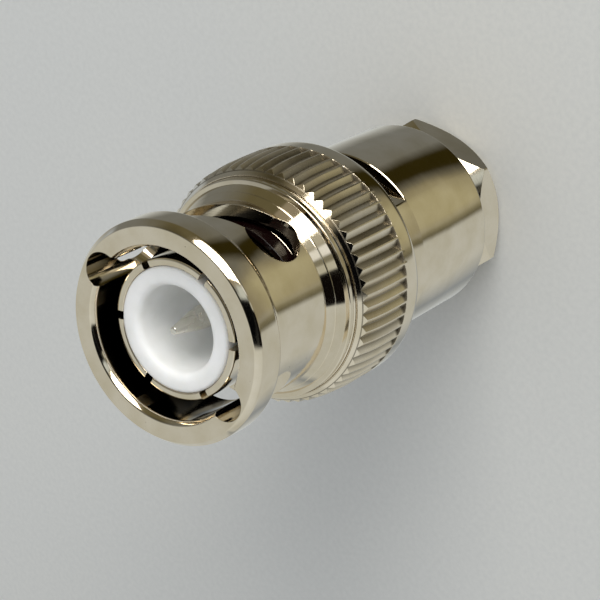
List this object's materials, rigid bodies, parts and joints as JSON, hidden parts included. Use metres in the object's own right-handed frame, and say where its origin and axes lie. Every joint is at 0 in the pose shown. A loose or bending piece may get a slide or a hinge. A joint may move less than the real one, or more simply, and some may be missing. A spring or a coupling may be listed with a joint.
{
  "type": "bnc connector",
  "caption": "Straight male bayonet coaxial plug with a knurled coupling sleeve, a centre pin in a white insulator and a hexagonal cable clamp nut.",
  "frame": {"origin": "centre of the clamp nut's rear face, on the connector's axis", "axes": "+Z along the connector's axis towards the mating face; the two bayonet entries lie on the X axis"},
  "size_m": [0.0144, 0.0144, 0.0275],
  "materials": {
    "nickel_plate": "bright nickel plate on turned brass",
    "nickel_satin": "satin nickel plate on turned brass",
    "spring_bronze": "plated phosphor bronze",
    "silver_plate": "silver-plated brass",
    "ptfe": "turned PTFE",
    "red_silicone": "moulded silicone rubber",
    "black_rubber": "moulded rubber"
  },
  "bodies": {
    "connector_body": {"body": "nickel_plate", "outer_contact": "nickel_plate", "centre_contact": "silver_plate", "front_insulator": "ptfe", "rear_insulator": "ptfe", "interface_gasket": "red_silicone", "wave_washer": "spring_bronze", "braid_clamp": "nickel_satin", "front_slip_washer": "nickel_satin", "cable_gasket": "black_rubber"},
    "spring_follower": {"thrust_washer": "nickel_satin"},
    "coupling": {"coupling_sleeve": "nickel_plate", "retaining_ring": "spring_bronze"},
    "clamp_follower": {"rear_slip_washer": "nickel_satin"},
    "clamp": {"clamp_nut": "nickel_plate"}
  },
  "joints": [
    {"name": "coupling_travel", "type": "slide", "parent": "connector_body", "child": "spring_follower", "axis": [0, 0, 1], "range_m": [0, 0.0006], "stiffness_N_per_m": 20000, "deforming": ["wave_washer"]},
    {"name": "coupling_turn", "type": "hinge", "parent": "spring_follower", "child": "coupling", "pos_m": [0, 0, 0.0202], "axis": [0, 0, 1], "continuous": true},
    {"name": "clamp_nut_travel", "type": "slide", "parent": "connector_body", "child": "clamp_follower", "axis": [0, 0, -1], "range_m": [0, 0.0045]},
    {"name": "clamp_nut_turn", "type": "hinge", "parent": "clamp_follower", "child": "clamp", "pos_m": [0, 0, 0], "axis": [0, 0, -1], "range_deg": [0, 2160]}
  ],
  "couplings": [
    {"joint": "clamp_nut_turn", "follows": "clamp_nut_travel", "rad_per_m": 8377.5}
  ]
}
